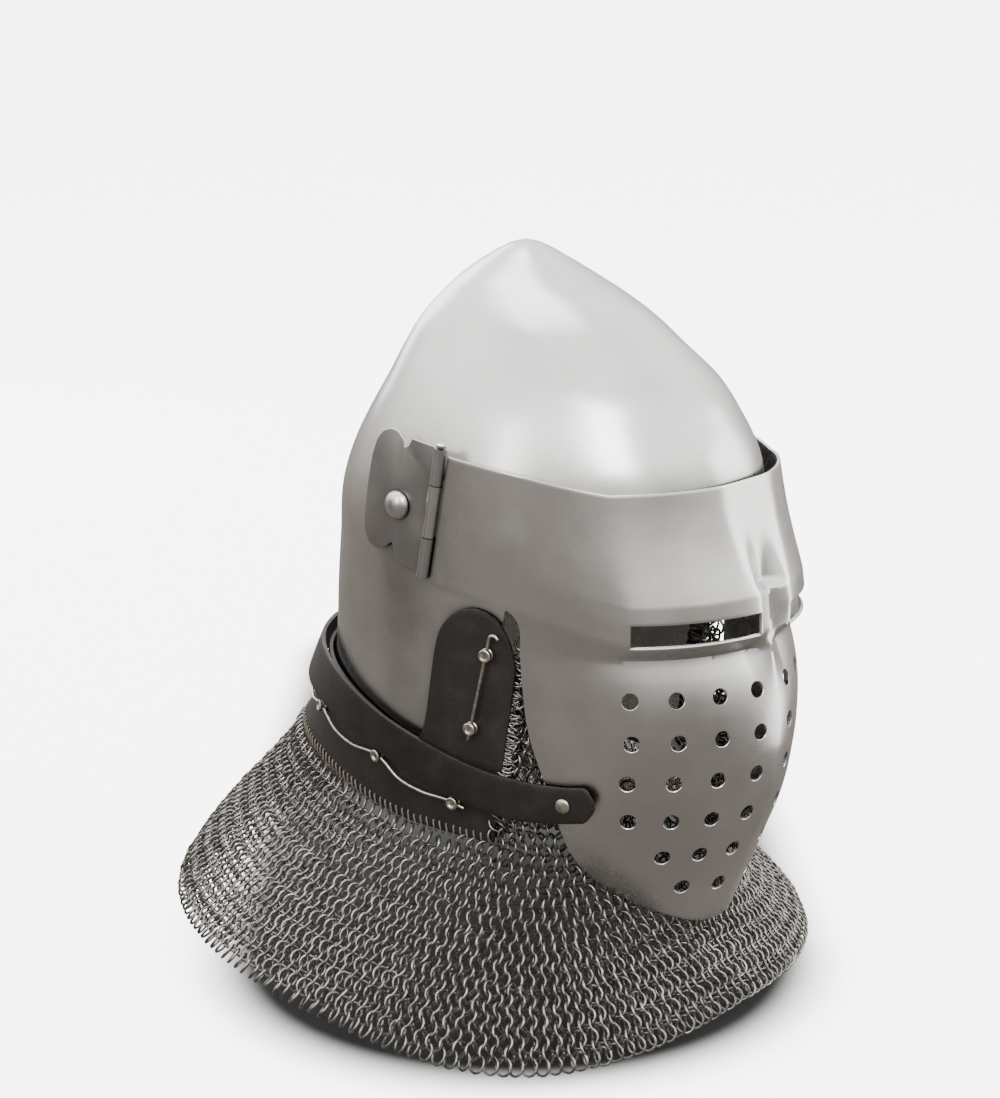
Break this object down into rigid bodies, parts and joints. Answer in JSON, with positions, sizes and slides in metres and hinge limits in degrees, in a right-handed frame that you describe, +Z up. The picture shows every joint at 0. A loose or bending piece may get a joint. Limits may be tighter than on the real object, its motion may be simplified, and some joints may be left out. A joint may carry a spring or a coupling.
{
  "type": "visored bascinet helmet",
  "caption": "Pointed steel helmet with a lifting full-face visor, side hinges, a leather-bound mail cape held by studs and wire, and a nape strap.",
  "frame": {"origin": "on the visor's pivot axis, midway between the two pivots, inside the skull", "axes": "+X to the wearer's left, the face looks along -Y, +Z up through the point of the skull"},
  "size_m": [0.364, 0.381, 0.4088],
  "materials": {
    "steel": "satin, softly brushed",
    "leather": "dark, smooth, slightly waxed",
    "stud_metal": "bright, lightly worn",
    "mail": "blackened steel rings"
  },
  "bodies": {
    "helmet": {"skull": "steel", "pivot_rivet_right": "steel", "pivot_rivet_left": "steel", "aventail_leather": "leather", "strap": "leather", "vervelle_01": "stud_metal", "vervelle_02": "stud_metal", "vervelle_03": "stud_metal", "vervelle_04": "stud_metal", "vervelle_05": "stud_metal", "vervelle_06": "stud_metal", "vervelle_07": "stud_metal", "vervelle_08": "stud_metal", "vervelle_09": "stud_metal", "vervelle_10": "stud_metal", "vervelle_11": "stud_metal", "vervelle_12": "stud_metal", "rim_wire": "stud_metal", "cheek_wire_right": "stud_metal", "cheek_wire_left": "stud_metal", "strap_rivet_right": "stud_metal", "strap_rivet_left": "stud_metal", "mail_aventail": "mail"},
    "visor": {"visor": "steel", "hinge_plate_right": "steel", "hinge_plate_left": "steel", "hinge_pin_right": "steel", "hinge_pin_left": "steel"}
  },
  "joints": [
    {"name": "visor_lift", "type": "hinge", "parent": "helmet", "child": "visor", "pos_m": [0, 0, 0], "axis": [-1, 0, 0], "range_deg": [0, 65]}
  ]
}
